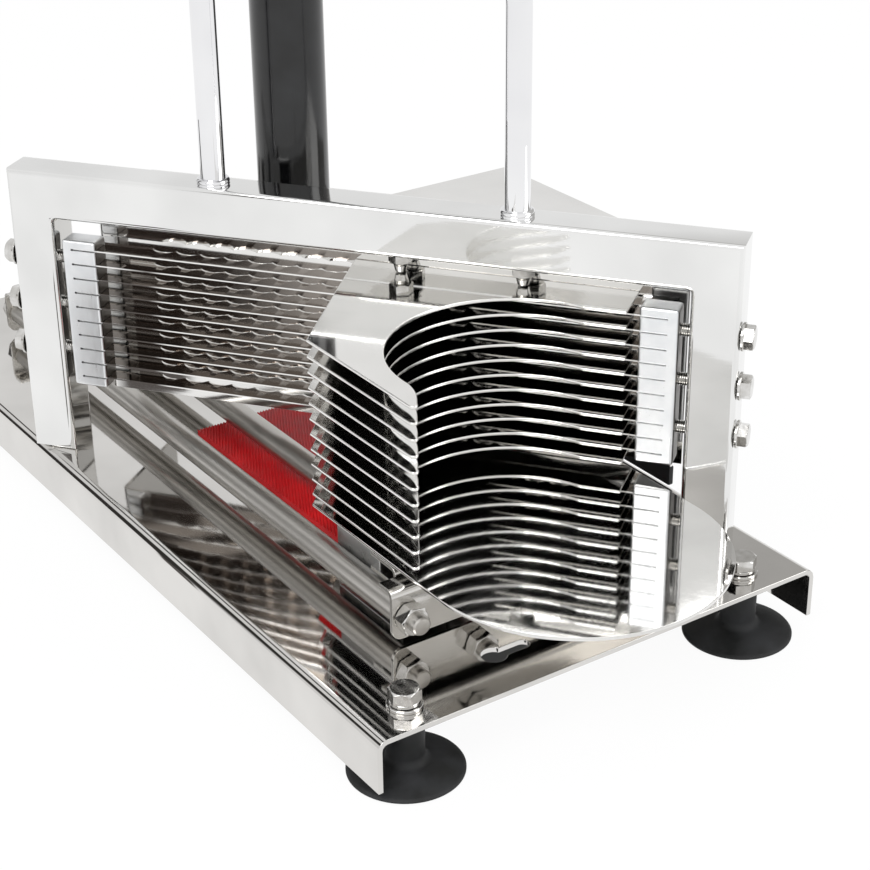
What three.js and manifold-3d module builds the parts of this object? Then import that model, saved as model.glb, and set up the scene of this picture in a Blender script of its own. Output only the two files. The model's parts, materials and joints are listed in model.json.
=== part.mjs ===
// Tomato slicer: a slanted blade frame on a folded base, and a pusher that slides on two rods.
// Units are millimetres. +Z is up, X runs across the base, Y from its near end to its far end.
// While it is built, the base's upper face is Z = 0, its middle X = 0 and its near end Y = 0.
// The last lines move the whole slicer so that the origin is the middle of its footprint.

import * as THREE from 'three';
import { mergeVertices } from 'three/addons/utils/BufferGeometryUtils.js';
import Module from 'manifold-3d';

const wasm = await Module();
wasm.setup();

// Blades: the slice and the steel between two slices set the height of everything in the frame
const sliceThickness = 5.5;
const bladeThickness = 0.5;
const bladeCount = 10;
const bladeWidth = 9.7;
const lowestBladeZ = 34.3;
const toothPitch = 10;
const toothDepth = 2;
const plainBladeLength = 20;
const bladePitch = sliceThickness + bladeThickness;
const highestBladeZ = lowestBladeZ + bladePitch * (bladeCount - 1);

// Base: a sheet with both long sides folded down
const baseWidth = 189.5;
const baseLength = 412;
const baseThickness = 2;
const baseFlange = 20;
const baseBend = 4;
const keyholeX = -34.5;
const keyholeY = 20.4;
const keyholeRadius = 4.6;
const keyholeSlotLength = 12;
const keyholeSlotRadius = 2.5;

// Suction feet and the bolts that hold them
const footInset = 21.65;
const footPatternShift = -2.6;
const footEndInset = 13;
const footHeight = 23;
const footDiscRadius = 20.1;
const footDiscHeight = 5;
const footNeckRadius = 6.5;
const footSkirtRadius = 12;
const footSkirtHeight = 7;
const footRimWidth = 2.2;
const footCupDepth = 2.6;
const footBoltRadius = 3;
const footBoltLength = 16;
const footHeadWidth = 10;
const footHeadHeight = 4.2;
const footWasherRadius = 6.2;
const footWasherThickness = 1.2;
const springWasherRadius = 5.2;
const springWasherThickness = 1.6;

// Blade frame: an upside-down U that stands across the base at a slant
const frameAngle = THREE.MathUtils.degToRad(52.5);
const frameX = -2.4;
const frameY = 148.4;
const windowWidth = 250.5;
const windowAbovePlates = 8.4;
const windowCorner = 3.5;
const legWidth = 18.2;
const railHeight = 18.9;
const frameDepth = 17;
const frameRounding = 2;

// Blade blocks, the set of blades between them and the bolts that pull the set tight
const blockEndGap = 3.15;
const bladeSetShift = -0.6;
const blockWidth = 14.5;
const blockDepth = 9.5;
const blockRecess = 1;
const blockBelow = 4.3;
const blockAbove = 3.7;
const blockSolidStrip = 4;
const slotClearance = 0.15;
const slotEndClearance = 0.3;
const bladeRecess = 1;
const tensionBoltRadius = 2.5;
const tensionBoltClearance = 0.3;
const tensionBoltDepth = 5;
const tensionBoltPitch = 19.3;
const tensionBoltMiddleZ = 64.2;
const tensionBoltGrip = 2.7;
const tensionHeadWidth = 8;
const tensionHeadHeight = 3.6;
const tensionWasherRadius = 5.3;
const tensionWasherThickness = 1;

// Handle on top of the frame
const postSpacing = 119;
const handleRadius = 4.75;
const handleRise = 96;
const handleBend = 20;
const collarRadius = 6.8;
const collarHeight = 2.2;
const handleGripRadius = 13.5;
const handleGripLength = 76;
const handleGripEdge = 4;
const gripClearance = 0.3;

// Hold-down screws under the rail, which keep the top plate of the pusher from rising
const holdDownRadius = 2.5;
const holdDownFirst = 14.7;
const holdDownSecond = 62;
const holdDownPlay = 0.45;
const holdDownThread = 8;
const holdDownNutWidth = 8;
const holdDownNutHeight = 4;

// Guide rods, the brackets that carry them and their nuts
const rodRadius = 5;
const rodZ = 10.7;
const outerRodX = -53.9;
const innerRodX = -24.7;
const rodStudRadius = 3.5;
const rodStudLength = 9.5;
const rodNutWidth = 10;
const rodNutHeight = 5.5;
const bracketY = 44;
const bracketFold = 8;
const bracketRodMargin = 6.1;
const bracketTopZ = 21.8;
const bracketGap = 2;
const bracketCorner = 4;
const bracketFoot = 14;
const bracketFootWidth = 20;
const bracketFeetX = [-5, 45];
const foldedSheet = 1.5;
const foldRadius = 3;

// Ribbed mat on the base
const matLeftX = -38;
const matWidth = 74;
const matNearY = 90;
const matFarY = 225;
const matThickness = 3;

// Tray: the floor under the fruit, with a round tongue at the near end
const trayThickness = 1.3;
const trayLeftInset = 1.9;
const trayLegGap = 8.1;
const tongueY = 26.2;
const trayCornerY = 107.5;

// Plates of the pusher: they pass between the blades
const plateThickness = 1.2;
const plateArmWidth = 9.1;
const plateCornerY = 103.8;
const plateTipY = 38.4;
const plateTipRadius = 1.6;
const cupX = -0.8;
const cupY = 55.5;
const cupEndLand = 15.16;
const plateFrontOverlap = 4.5;
const plateEndClearance = 3.3;

// Body of the pusher: the wall behind the blades, folded over into a hood
const wallClearance = 3.9;
const wallLeftOverlap = 5.8;
const wallLegClearance = 3;
const wallThickness = 1.5;
const hoodTopClearance = 0.3;
const hoodFrameClearance = 2;
const hoodStripDepth = 47;
const hoodRightInset = 1;
const hoodRightStartY = 76;
const hoodRearY = 190.5;
const hoodFlange = 14;
const hoodBend = 2.5;
const hoodSideThickness = 1.2;
const hoodSideClearance = 6;

// Grip on the pusher
const pushGripAlong = -41;
const pushPostRadius = 5;
const pushPostHeight = 92;
const pushGripRadius = 13.9;
const pushGripHeight = 104;
const pushGripEdge = 5;

// Carriage channel under the tray and the shoe that runs between the rods
const channelY = 53;
const channelDepth = 16;
const channelUnderside = 16.4;
const shoeHeight = 11.2;
const shoeLength = 42;
const shoeEndInset = 1;
const shoeClearance = 0.35;

// Shared values
const touchGap = 0.3;
const cutOverrun = 5;
const roundSides = 24;
const smallRoundSides = 12;
const bendSteps = 3;
const cupSteps = 12;
const toothSteps = 3;

// Heights, widths and depths that follow from the sizes above
const highestPlateZ = highestBladeZ + bladePitch / 2 + plateThickness / 2;
const windowHeight = highestPlateZ + windowAbovePlates;
const frameTopZ = windowHeight + railHeight;
const frameFront = -frameDepth / 2;
const frameRear = frameDepth / 2;
const bladeFront = frameFront + blockRecess + bladeRecess;
const bladeRear = bladeFront + bladeWidth;
const wallFront = bladeRear + wallClearance;
const bladeSetHalf = windowWidth / 2 - blockWidth - blockEndGap;
const bladeSetLeft = bladeSetShift - bladeSetHalf;
const bladeSetRight = bladeSetShift + bladeSetHalf;
const plateRight = bladeSetRight - plateEndClearance;
const plateFront = frameFront - plateFrontOverlap;
const cupEnd = fromFrame(plateRight - cupEndLand, plateFront);
const cupRadius = cupEnd.distanceTo(new THREE.Vector2(cupX, cupY));
const plateLeftX = cupX - cupRadius - plateArmWidth;
const trayLeftX = plateLeftX + trayLeftInset;
const trayRightX = fromFrame(windowWidth / 2, frameFront).x - trayLegGap;
const wallLeft = bladeSetLeft - wallLeftOverlap;
const wallRight = windowWidth / 2 - wallLegClearance;
const hoodTopZ = windowHeight - hoodTopClearance;
const trayTopZ = lowestBladeZ - bladePitch * 3 / 2;
const trayUnderside = trayTopZ - trayThickness;
const hoodFront = frameRear + hoodFrameClearance;
const hoodRear = hoodFront + hoodStripDepth;
const hoodRightX = baseWidth / 2 - hoodRightInset;

// Materials
function steel(color, roughness) {
  return new THREE.MeshStandardMaterial({ color, roughness, metalness: 1 });
}

const mirrorSteel = steel(0xd9dadb, 0.06);
const satinSteel = steel(0xb9babb, 0.28);
const bladeSteel = steel(0xc9cacc, 0.14);
const chrome = steel(0xe3e4e6, 0.04);
const zincSteel = steel(0xc2c4c6, 0.22);
const satinAluminium = steel(0xc6c8ca, 0.35);
const blackRubber = new THREE.MeshStandardMaterial({ color: 0x191a1b, roughness: 0.55, metalness: 0 });
const blackGloss = new THREE.MeshStandardMaterial({ color: 0x0b0b0c, roughness: 0.12, metalness: 0 });
const redRubber = new THREE.MeshStandardMaterial({ color: 0xc4161c, roughness: 0.5, metalness: 0 });

// Solids for joining and cutting
function solidOf(geometry) {
  geometry.deleteAttribute('normal');
  geometry.deleteAttribute('uv');
  const merged = mergeVertices(geometry);
  const vertProperties = merged.attributes.position.array;
  const triVerts = new Uint32Array(merged.index.array);
  return new wasm.Manifold(new wasm.Mesh({ numProp: 3, vertProperties, triVerts }));
}

function geometryOf(solid) {
  const mesh = solid.getMesh();
  const geometry = new THREE.BufferGeometry();
  geometry.setAttribute('position', new THREE.BufferAttribute(mesh.vertProperties, mesh.numProp));
  geometry.setIndex(new THREE.BufferAttribute(mesh.triVerts, 1));
  geometry.computeVertexNormals();
  return geometry;
}

function joined(solids) {
  return solids.reduce((sum, solid) => sum.add(solid));
}

function cut(body, tools) {
  return tools.reduce((rest, tool) => rest.subtract(tool), body);
}

// Basic forms
function block(lowX, highX, lowY, highY, lowZ, highZ) {
  const geometry = new THREE.BoxGeometry(highX - lowX, highY - lowY, highZ - lowZ);
  geometry.translate((lowX + highX) / 2, (lowY + highY) / 2, (lowZ + highZ) / 2);
  return solidOf(geometry);
}

function bar(radius, start, end, sides = roundSides) {
  const axis = new THREE.Vector3().subVectors(end, start);
  const geometry = new THREE.CylinderGeometry(radius, radius, axis.length(), sides);
  const heading = axis.clone().normalize();
  const turn = new THREE.Quaternion().setFromUnitVectors(new THREE.Vector3(0, 1, 0), heading);
  geometry.applyQuaternion(turn);
  const middle = new THREE.Vector3().addVectors(start, end).multiplyScalar(1 / 2);
  geometry.translate(middle.x, middle.y, middle.z);
  return solidOf(geometry);
}

function upright(radius, x, y, lowZ, highZ, sides = roundSides) {
  return bar(radius, new THREE.Vector3(x, y, lowZ), new THREE.Vector3(x, y, highZ), sides);
}

function hexagon(widthAcrossFlats, start, end) {
  return bar(widthAcrossFlats / Math.sqrt(3), start, end, 6);
}

// A flat outline raised from one height to another
function slab(shape, lowZ, highZ, curveSegments = bendSteps) {
  const geometry = new THREE.ExtrudeGeometry(shape, {
    depth: highZ - lowZ, bevelEnabled: false, steps: 1, curveSegments,
  });
  geometry.translate(0, 0, lowZ);
  return solidOf(geometry);
}

// A section drawn in Y and Z, run along X
function runAlongX(shape, lowX, highX) {
  const geometry = new THREE.ExtrudeGeometry(shape, { depth: highX - lowX, bevelEnabled: false, steps: 1 });
  const turn = new THREE.Matrix4().makeBasis(
    new THREE.Vector3(0, 1, 0), new THREE.Vector3(0, 0, 1), new THREE.Vector3(1, 0, 0));
  geometry.applyMatrix4(turn);
  geometry.translate(lowX, 0, 0);
  return solidOf(geometry);
}

// A section drawn in X and Z, run along Y
function runAlongY(shape, lowY, highY) {
  const geometry = new THREE.ExtrudeGeometry(shape, { depth: highY - lowY, bevelEnabled: false, steps: 1 });
  const turn = new THREE.Matrix4().makeBasis(
    new THREE.Vector3(1, 0, 0), new THREE.Vector3(0, 0, 1), new THREE.Vector3(0, -1, 0));
  geometry.applyMatrix4(turn);
  geometry.translate(0, highY, 0);
  return solidOf(geometry);
}

// A turned body about the vertical axis; the profile is given as [radius, height]
function turned(profile, sides = roundSides) {
  const points = profile.map(([radius, height]) => new THREE.Vector2(radius, height));
  const geometry = new THREE.LatheGeometry(points, sides);
  geometry.rotateX(Math.PI / 2);
  return solidOf(geometry);
}

// The section of a folded sheet: its middle line has these corners and one bend radius
function foldedSection(corners, thickness, outerRadius) {
  const bendRadius = outerRadius - thickness / 2;
  const points = corners.map(([across, up]) => new THREE.Vector2(across, up));
  const left = [];
  const right = [];
  const place = (centre, normal) => {
    left.push(centre.clone().addScaledVector(normal, thickness / 2));
    right.push(centre.clone().addScaledVector(normal, -thickness / 2));
  };
  const heading = (from, to) => new THREE.Vector2().subVectors(to, from).normalize();
  const leftOf = (direction) => new THREE.Vector2(-direction.y, direction.x);
  const last = points.length - 1;
  place(points[0], leftOf(heading(points[0], points[1])));
  for (let i = 1; i < last; i += 1) {
    const before = heading(points[i - 1], points[i]);
    const after = heading(points[i], points[i + 1]);
    const turn = Math.atan2(before.cross(after), before.dot(after));
    const side = Math.sign(turn);
    const start = points[i].clone().addScaledVector(before, -bendRadius * Math.tan(Math.abs(turn) / 2));
    const centre = start.clone().addScaledVector(leftOf(before), side * bendRadius);
    for (let step = 0; step <= bendSteps; step += 1) {
      const direction = before.clone().rotateAround(new THREE.Vector2(), turn * step / bendSteps);
      const normal = leftOf(direction);
      place(centre.clone().addScaledVector(normal, -side * bendRadius), normal);
    }
  }
  place(points[last], leftOf(heading(points[last - 1], points[last])));
  return new THREE.Shape([...left, ...right.reverse()]);
}

// Plan places along and across the slanted frame, as X and Y of the base
function fromFrame(along, across) {
  const place = new THREE.Vector2(along, across);
  return place.rotateAround(new THREE.Vector2(), -frameAngle).add(new THREE.Vector2(frameX, frameY));
}

// X and Y of the base, as plan places along and across the slanted frame
function toFrame(x, y) {
  return new THREE.Vector2(x - frameX, y - frameY).rotateAround(new THREE.Vector2(), frameAngle);
}

// Where a line of constant depth behind the frame's middle crosses a line of constant X or Y
function frameLineAtX(across, x) {
  const start = fromFrame(0, across);
  return new THREE.Vector2(x, start.y - (x - start.x) * Math.tan(frameAngle));
}

function frameLineAtY(across, y) {
  const start = fromFrame(0, across);
  return new THREE.Vector2(start.x - (y - start.y) / Math.tan(frameAngle), y);
}

// Where that line meets the 45 degree cut that starts at a corner on the left edge
function frameLineAtCut(across, corner) {
  const start = fromFrame(0, across);
  const slope = Math.tan(frameAngle);
  const run = (start.y - corner.y - (corner.x - start.x) * slope) / (1 + slope);
  return new THREE.Vector2(corner.x + run, corner.y + run);
}

const slicer = new THREE.Group();

function slantedGroup() {
  const group = new THREE.Group();
  group.position.set(frameX, frameY, 0);
  group.rotation.z = -frameAngle;
  slicer.add(group);
  return group;
}

const gantry = slantedGroup();
const hood = slantedGroup();

function addPart(group, name, solid, material) {
  const mesh = new THREE.Mesh(geometryOf(solid), material);
  mesh.name = name;
  group.add(mesh);
}

// Base plate
function footPlaces() {
  const places = [];
  for (const y of [footEndInset, baseLength - footEndInset]) {
    for (const side of [-1, 1]) {
      places.push([footPatternShift + side * (baseWidth / 2 - footInset), y]);
    }
  }
  return places;
}

function basePlate() {
  const side = baseWidth / 2 - baseThickness / 2;
  const sheet = runAlongY(foldedSection(
    [[-side, -baseFlange], [-side, -baseThickness / 2], [side, -baseThickness / 2], [side, -baseFlange]],
    baseThickness, baseBend), 0, baseLength);
  const low = -baseThickness - cutOverrun;
  const holes = footPlaces().map(([x, y]) => upright(footBoltRadius + touchGap, x, y, low, cutOverrun,
    smallRoundSides));
  const keyhole = upright(keyholeRadius, keyholeX, keyholeY, low, cutOverrun);
  const slotEndX = keyholeX + keyholeSlotLength;
  const slotSides = block(keyholeX, slotEndX, keyholeY - keyholeSlotRadius, keyholeY + keyholeSlotRadius,
    low, cutOverrun);
  const slotEnd = upright(keyholeSlotRadius, slotEndX, keyholeY, low, cutOverrun);
  return cut(sheet, [...holes, keyhole, slotSides, slotEnd]);
}

addPart(slicer, 'base_plate', basePlate(), mirrorSteel);

// Suction feet
function suctionFoot() {
  const top = -baseThickness - touchGap;
  const bottom = -baseThickness - footHeight;
  const discTop = bottom + footDiscHeight;
  const bore = footBoltRadius + touchGap;
  const boreEnd = -footBoltLength - touchGap;
  return turned([
    [0, bottom + footCupDepth],
    [footSkirtRadius, bottom + footCupDepth],
    [footDiscRadius - footRimWidth, bottom],
    [footDiscRadius, bottom],
    [footDiscRadius, bottom + footRimWidth],
    [footSkirtRadius, discTop],
    [footNeckRadius, discTop + footSkirtHeight],
    [footNeckRadius, top],
    [bore, top],
    [bore, boreEnd],
    [0, boreEnd],
  ], roundSides);
}

function footBolt() {
  const washerTop = footWasherThickness;
  const springTop = washerTop + springWasherThickness;
  const headTop = springTop + footHeadHeight;
  const washer = upright(footWasherRadius, 0, 0, 0, washerTop);
  const spring = upright(springWasherRadius, 0, 0, 0, springTop, smallRoundSides);
  const head = hexagon(footHeadWidth, new THREE.Vector3(0, 0, 0), new THREE.Vector3(0, 0, headTop));
  const shank = upright(footBoltRadius, 0, 0, -footBoltLength, headTop / 2, smallRoundSides);
  return joined([washer, spring, head, shank]);
}

footPlaces().forEach(([x, y], index) => {
  addPart(slicer, `suction_foot_${index + 1}`, suctionFoot().translate([x, y, 0]), blackRubber);
  addPart(slicer, `foot_bolt_${index + 1}`, footBolt().translate([x, y, 0]), zincSteel);
});

// Blade frame
function boltHeights() {
  return [-1, 0, 1].map((row) => tensionBoltMiddleZ + row * tensionBoltPitch);
}

const boltAcross = frameFront + tensionBoltDepth;

function bladeFrame() {
  const outer = windowWidth / 2 + legWidth - frameRounding;
  const inner = windowWidth / 2 + frameRounding;
  const top = frameTopZ - frameRounding;
  const windowTop = windowHeight + frameRounding;
  const outline = new THREE.Shape();
  outline.moveTo(-outer, frameRounding);
  outline.lineTo(-inner, frameRounding);
  outline.lineTo(-inner, windowTop - windowCorner);
  outline.quadraticCurveTo(-inner, windowTop, -inner + windowCorner, windowTop);
  outline.lineTo(inner - windowCorner, windowTop);
  outline.quadraticCurveTo(inner, windowTop, inner, windowTop - windowCorner);
  outline.lineTo(inner, frameRounding);
  outline.lineTo(outer, frameRounding);
  outline.lineTo(outer, top);
  outline.lineTo(-outer, top);
  outline.closePath();
  const geometry = new THREE.ExtrudeGeometry(outline, {
    depth: frameDepth - 2 * frameRounding,
    steps: 1,
    curveSegments: bendSteps,
    bevelThickness: frameRounding,
    bevelSize: frameRounding,
    bevelSegments: bendSteps,
  });
  geometry.rotateX(Math.PI / 2);
  geometry.translate(0, frameRear - frameRounding, 0);
  const reach = windowWidth / 2 + legWidth + cutOverrun;
  const boltHoles = boltHeights().map((z) => bar(tensionBoltRadius + tensionBoltClearance,
    new THREE.Vector3(-reach, boltAcross, z), new THREE.Vector3(reach, boltAcross, z), smallRoundSides));
  const screwHoles = [holdDownFirst, holdDownSecond].map((x) => upright(holdDownRadius + touchGap, x, 0,
    windowHeight - cutOverrun, windowHeight + holdDownThread + touchGap, smallRoundSides));
  return cut(solidOf(geometry), [...boltHoles, ...screwHoles]);
}

addPart(gantry, 'blade_frame', bladeFrame(), mirrorSteel);

// Blade blocks and blades
const blockLowZ = lowestBladeZ - blockBelow;
const blockHighZ = highestBladeZ + blockAbove;
const slotDepth = blockWidth - blockSolidStrip;

function bladeHeights() {
  return Array.from({ length: bladeCount }, (_, index) => highestBladeZ - index * bladePitch);
}

function bladeBlock(inner, side) {
  const outer = inner + side * blockWidth;
  const front = frameFront + blockRecess;
  const body = block(Math.min(inner, outer), Math.max(inner, outer), front, front + blockDepth,
    blockLowZ, blockHighZ);
  const slotStart = inner - side * cutOverrun;
  const slotEnd = inner + side * slotDepth;
  const half = bladeThickness / 2 + slotClearance;
  const slots = bladeHeights().map((z) => block(Math.min(slotStart, slotEnd), Math.max(slotStart, slotEnd),
    front - cutOverrun, front + blockDepth + cutOverrun, z - half, z + half));
  const tapEnd = outer - side * (tensionBoltGrip + touchGap);
  const taps = boltHeights().map((z) => bar(tensionBoltRadius + tensionBoltClearance,
    new THREE.Vector3(outer + side * cutOverrun, boltAcross, z), new THREE.Vector3(tapEnd, boltAcross, z),
    smallRoundSides));
  return cut(body, [...slots, ...taps]);
}

addPart(gantry, 'blade_block_left', bladeBlock(bladeSetLeft, -1), satinAluminium);
addPart(gantry, 'blade_block_right', bladeBlock(bladeSetRight, 1), satinAluminium);

// The near edge is straight; the far edge cuts, with hollow scallops between its points
function bladeOutline() {
  const tang = slotDepth - slotEndClearance;
  const left = bladeSetLeft - tang;
  const right = bladeSetRight + tang;
  const toothLeft = bladeSetLeft + plainBladeLength;
  const toothCount = Math.floor((bladeSetRight - toothLeft) / toothPitch);
  const outline = new THREE.Shape();
  outline.moveTo(left, bladeFront);
  outline.lineTo(right, bladeFront);
  outline.lineTo(right, bladeRear);
  for (let tooth = toothCount; tooth > 0; tooth -= 1) {
    const start = toothLeft + tooth * toothPitch;
    outline.lineTo(start, bladeRear);
    const end = start - toothPitch;
    outline.quadraticCurveTo((start + end) / 2, bladeRear - 2 * toothDepth, end, bladeRear);
  }
  outline.lineTo(left, bladeRear);
  outline.closePath();
  return outline;
}

bladeHeights().forEach((z, index) => {
  const blade = slab(bladeOutline(), z - bladeThickness / 2, z + bladeThickness / 2, toothSteps);
  addPart(gantry, `blade_${String(index + 1).padStart(2, '0')}`, blade, bladeSteel);
});

// Bolts that pull the blade blocks apart
function tensionBolt(side, z) {
  const seat = side * (windowWidth / 2 + legWidth + touchGap);
  const washerEnd = seat + side * tensionWasherThickness;
  const headEnd = washerEnd + side * tensionHeadHeight;
  const blockOuter = (side > 0 ? bladeSetRight : bladeSetLeft) + side * blockWidth;
  const tip = blockOuter - side * tensionBoltGrip;
  const at = (x) => new THREE.Vector3(x, boltAcross, z);
  return joined([
    bar(tensionWasherRadius, at(seat), at(washerEnd), roundSides),
    hexagon(tensionHeadWidth, at(seat), at(headEnd)),
    bar(tensionBoltRadius, at(tip), at(washerEnd), smallRoundSides),
  ]);
}

boltHeights().reverse().forEach((z, index) => {
  addPart(gantry, `tension_bolt_left_${index + 1}`, tensionBolt(-1, z), zincSteel);
  addPart(gantry, `tension_bolt_right_${index + 1}`, tensionBolt(1, z), zincSteel);
});

// Handle on the frame
const handleBarZ = frameTopZ + handleRise;

function topHandle() {
  const half = postSpacing / 2;
  const point = (x, z) => new THREE.Vector3(x, 0, z);
  const bendLow = handleBarZ - handleBend;
  const path = new THREE.CurvePath();
  path.add(new THREE.LineCurve3(point(-half, frameTopZ), point(-half, bendLow)));
  path.add(new THREE.QuadraticBezierCurve3(point(-half, bendLow), point(-half, handleBarZ),
    point(-half + handleBend, handleBarZ)));
  path.add(new THREE.LineCurve3(point(-half + handleBend, handleBarZ), point(half - handleBend, handleBarZ)));
  path.add(new THREE.QuadraticBezierCurve3(point(half - handleBend, handleBarZ), point(half, handleBarZ),
    point(half, bendLow)));
  path.add(new THREE.LineCurve3(point(half, bendLow), point(half, frameTopZ)));
  const section = new THREE.Shape();
  section.absarc(0, 0, handleRadius, 0, 2 * Math.PI);
  const steps = Math.round(path.getLength() / (2 * handleRadius));
  const geometry = new THREE.ExtrudeGeometry(section, {
    steps, curveSegments: smallRoundSides / 2, extrudePath: path,
  });
  const collars = [-half, half].map((x) => turned([
    [0, 0], [collarRadius, 0], [collarRadius, collarHeight / 2],
    [handleRadius, collarHeight], [0, collarHeight],
  ]).translate([x, 0, frameTopZ]));
  return joined([solidOf(geometry), ...collars]);
}

function roundedSleeve(outerRadius, boreRadius, length, edge) {
  return turned([
    [boreRadius, 0], [outerRadius - edge, 0], [outerRadius, edge],
    [outerRadius, length - edge], [outerRadius - edge, length], [boreRadius, length], [boreRadius, 0],
  ]);
}

function handleGrip() {
  const bore = handleRadius + gripClearance;
  const sleeve = roundedSleeve(handleGripRadius, bore, handleGripLength, handleGripEdge);
  return sleeve.rotate([0, 90, 0]).translate([-handleGripLength / 2, 0, handleBarZ]);
}

addPart(gantry, 'top_handle', topHandle(), chrome);
addPart(gantry, 'top_handle_grip', handleGrip(), blackGloss);

// Hold-down screws
function holdDownScrew(x) {
  const low = highestPlateZ + holdDownPlay;
  const nutTop = windowHeight - touchGap;
  const at = (z) => new THREE.Vector3(x, 0, z);
  return joined([
    upright(holdDownRadius, x, 0, low, windowHeight + holdDownThread, smallRoundSides),
    hexagon(holdDownNutWidth, at(nutTop - holdDownNutHeight), at(nutTop)),
  ]);
}

addPart(gantry, 'hold_down_screw_1', holdDownScrew(holdDownFirst), zincSteel);
addPart(gantry, 'hold_down_screw_2', holdDownScrew(holdDownSecond), zincSteel);

// Rod brackets: a low plate with its top folded back and two feet that lie on the base
const bracketHalfWidth = bracketRodMargin - outerRodX;

function lowerCorner(side) {
  const end = side * bracketHalfWidth;
  const centre = end - side * bracketCorner;
  const centreZ = bracketGap + bracketCorner;
  const low = bracketY - cutOverrun;
  const high = bracketY + bracketFold;
  const square = block(Math.min(centre, end + side * cutOverrun), Math.max(centre, end + side * cutOverrun),
    low, high, bracketGap - cutOverrun, centreZ);
  const round = bar(bracketCorner, new THREE.Vector3(centre, low - cutOverrun, centreZ),
    new THREE.Vector3(centre, high + cutOverrun, centreZ));
  return cut(square, [round]);
}

function rodBracket() {
  const middle = bracketY + foldedSheet / 2;
  const top = bracketTopZ - foldedSheet / 2;
  const floor = foldedSheet / 2;
  const fold = (corners) => foldedSection(corners, foldedSheet, foldRadius);
  const plate = fold([[middle, bracketGap], [middle, top], [bracketY + bracketFold, top]]);
  const foot = fold([[middle, rodZ], [middle, floor], [bracketY + bracketFoot, floor]]);
  const feet = bracketFeetX.map((x) => runAlongX(foot, x - bracketFootWidth / 2, x + bracketFootWidth / 2));
  const studHoles = [outerRodX, innerRodX].map((x) => bar(rodStudRadius + touchGap,
    new THREE.Vector3(x, bracketY - cutOverrun, rodZ), new THREE.Vector3(x, bracketY + cutOverrun, rodZ),
    smallRoundSides));
  const web = runAlongX(plate, -bracketHalfWidth, bracketHalfWidth);
  const body = cut(web, [lowerCorner(-1), lowerCorner(1)]);
  return cut(joined([body, ...feet]), studHoles);
}

function mirroredAlongBase(solid) {
  return solid.mirror([0, 1, 0]).translate([0, baseLength, 0]);
}

addPart(slicer, 'rod_bracket_front', rodBracket(), satinSteel);
addPart(slicer, 'rod_bracket_rear', mirroredAlongBase(rodBracket()), satinSteel);

// Guide rods and nuts
function guideRod(x) {
  const shoulder = bracketY + foldedSheet + touchGap;
  const studEnd = bracketY - rodStudLength;
  const at = (y) => new THREE.Vector3(x, y, rodZ);
  return joined([
    bar(rodRadius, at(shoulder), at(baseLength - shoulder)),
    bar(rodStudRadius, at(studEnd), at(baseLength - studEnd), smallRoundSides),
  ]);
}

function rodNut(x) {
  const far = bracketY - touchGap;
  const near = far - rodNutHeight;
  const at = (y) => new THREE.Vector3(x, y, rodZ);
  return cut(hexagon(rodNutWidth, at(near), at(far)), [
    bar(rodStudRadius + touchGap, at(near - cutOverrun), at(far + cutOverrun), smallRoundSides),
  ]);
}

[['outer', outerRodX], ['inner', innerRodX]].forEach(([place, x]) => {
  addPart(slicer, `guide_rod_${place}`, guideRod(x), satinSteel);
  addPart(slicer, `rod_nut_front_${place}`, rodNut(x), zincSteel);
  addPart(slicer, `rod_nut_rear_${place}`, mirroredAlongBase(rodNut(x)), zincSteel);
});

// Ribbed mat
const mat = block(matLeftX, matLeftX + matWidth, matNearY, matFarY, 0, matThickness);
addPart(slicer, 'ribbed_mat', mat, redRubber);

// Pusher tray
function trayOutline() {
  const seam = wallFront - touchGap;
  const corner = new THREE.Vector2(trayLeftX, trayCornerY);
  const cutEnd = frameLineAtCut(seam, corner);
  const rightEnd = frameLineAtX(seam, trayRightX);
  const tongueRadius = (trayRightX - trayLeftX) / 2;
  const outline = new THREE.Shape();
  outline.moveTo(corner.x, corner.y);
  outline.lineTo(trayLeftX, tongueY);
  outline.absarc(trayLeftX + tongueRadius, tongueY, tongueRadius, Math.PI, 2 * Math.PI);
  outline.lineTo(rightEnd.x, rightEnd.y);
  outline.lineTo(cutEnd.x, cutEnd.y);
  outline.closePath();
  return outline;
}

addPart(slicer, 'pusher_tray', slab(trayOutline(), trayUnderside, trayTopZ, cupSteps), mirrorSteel);

// Pusher plates
function plateOutline() {
  const seam = wallFront - touchGap;
  const corner = new THREE.Vector2(plateLeftX, plateCornerY);
  const cutEnd = frameLineAtCut(seam, corner);
  const rightRear = fromFrame(plateRight, seam);
  const rightFront = fromFrame(plateRight, plateFront);
  const startAngle = Math.atan2(cupEnd.y - cupY, cupEnd.x - cupX);
  const tipX = plateLeftX + plateTipRadius;
  const tipCentreY = plateTipY + plateTipRadius;
  const outline = new THREE.Shape();
  outline.moveTo(corner.x, corner.y);
  outline.lineTo(cutEnd.x, cutEnd.y);
  outline.lineTo(rightRear.x, rightRear.y);
  outline.lineTo(rightFront.x, rightFront.y);
  outline.lineTo(cupEnd.x, cupEnd.y);
  outline.absarc(cupX, cupY, cupRadius, startAngle, Math.PI, false);
  outline.quadraticCurveTo(cupX - cupRadius, (cupY + tipCentreY) / 2, tipX + plateTipRadius, tipCentreY);
  outline.absarc(tipX, tipCentreY, plateTipRadius, 0, -Math.PI, true);
  outline.closePath();
  return outline;
}

for (let index = 0; index <= bladeCount; index += 1) {
  const top = highestPlateZ - index * bladePitch;
  const plate = slab(plateOutline(), top - plateThickness, top, cupSteps);
  addPart(slicer, `pusher_plate_${String(index + 1).padStart(2, '0')}`, plate, satinSteel);
}

// Pusher body
const pushGripAcross = (hoodFront + hoodRear) / 2;

function alongHood(across, y) {
  const place = frameLineAtY(across, y);
  return new THREE.Vector2(toFrame(place.x, place.y).x, across);
}

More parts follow.
